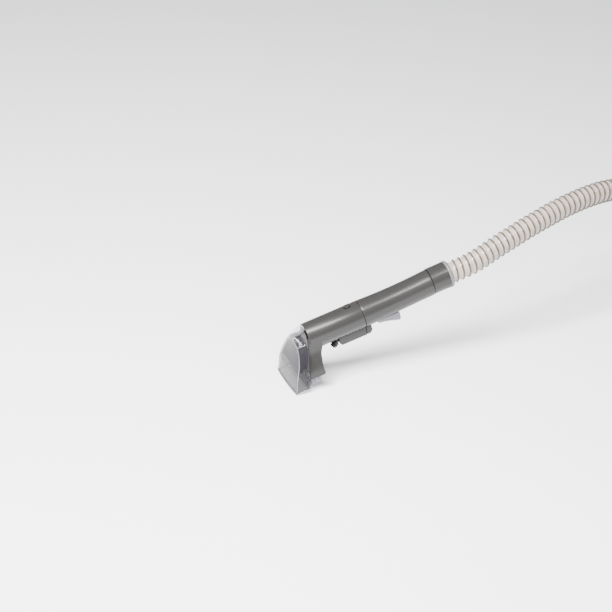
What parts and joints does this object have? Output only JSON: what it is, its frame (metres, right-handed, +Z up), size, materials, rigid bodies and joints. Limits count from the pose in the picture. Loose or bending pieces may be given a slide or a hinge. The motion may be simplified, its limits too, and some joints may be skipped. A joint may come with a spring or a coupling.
{
  "type": "carpet cleaner hand tool",
  "caption": "Spray-suction hand tool with a clear nozzle, brush, round grip, trigger and release button, on a long ribbed hose with a machine plug, folded and strapped.",
  "frame": {"origin": "middle of the grip, on the handle's axis", "axes": "+X along the floor from the nozzle to the hose, +Y to the left when looking along +X, +Z up; the handle rises 14.5 degrees towards +X"},
  "size_m": [1.2977, 0.2475, 0.2032],
  "materials": {
    "dark_plastic": "dark grey moulded plastic with a soft shine",
    "clear_plastic": "smoky clear polycarbonate",
    "lilac_plastic": "pale translucent plastic",
    "black_plastic": "black moulded plastic",
    "rubber": "black rubber",
    "strap": "black woven strap",
    "white_plastic": "white plastic",
    "steel": "stainless steel",
    "bristle": "translucent white nylon bristle",
    "hose_plastic": "clear beige hose wall over a dark spiral wire"
  },
  "bodies": {
    "handle": {"handle_left_shell": "dark_plastic", "handle_right_shell": "dark_plastic", "handle_spigot": "dark_plastic", "suction_duct": "dark_plastic", "handle_screw_1": "steel", "handle_screw_2": "steel", "handle_screw_3": "steel", "hose_collar": "dark_plastic", "collar_end_ring": "dark_plastic", "hose_cuff": "rubber", "coupling_block": "dark_plastic", "valve_body": "white_plastic", "valve_spring": "steel", "solution_inlet_tube": "white_plastic", "solution_outlet_tube": "white_plastic", "trigger_pin": "steel", "hose": "hose_plastic", "hose_connector": "dark_plastic", "connector_seal": "rubber", "hose_tie": "strap"},
    "front_tool": {"front_body": "dark_plastic", "clear_nozzle": "clear_plastic", "nozzle_liner": "dark_plastic", "nozzle_gasket": "rubber", "barrel_seal": "rubber", "lower_housing": "dark_plastic", "spray_tip": "black_plastic", "front_solution_tube": "white_plastic", "solution_nipple": "white_plastic", "nipple_ring": "rubber", "brush_strip": "bristle", "brush_screw_left": "steel", "brush_screw_right": "steel", "button_spring": "steel"},
    "lock_button": {"lock_button": "dark_plastic"},
    "trigger": {"trigger": "lilac_plastic"},
    "valve_plunger": {"valve_plunger": "steel"}
  },
  "joints": [
    {"name": "front_tool_slide", "type": "slide", "parent": "handle", "child": "front_tool", "axis": [-0.9681, 0, -0.2504], "range_m": [0, 0.03]},
    {"name": "lock_press", "type": "slide", "parent": "front_tool", "child": "lock_button", "axis": [0.2504, 0, -0.9681], "range_m": [0, 0.0018], "stiffness_N_per_m": 600, "springref_m": -0.0006, "deforming": ["button_spring"]},
    {"name": "trigger_press", "type": "hinge", "parent": "handle", "child": "trigger", "pos_m": [-0.03116, 0, -0.02314], "axis": [0, -1, 0], "range_deg": [0, 5], "stiffness_Nm_per_rad": 0.25, "springref_deg": -3.44},
    {"name": "valve_push", "type": "slide", "parent": "handle", "child": "valve_plunger", "axis": [-0.2504, 0, 0.9681], "range_m": [0, 0.0012], "deforming": ["valve_spring"]}
  ],
  "couplings": [
    {"joint": "valve_push", "follows": "trigger_press", "m_per_rad": 0.0135}
  ]
}
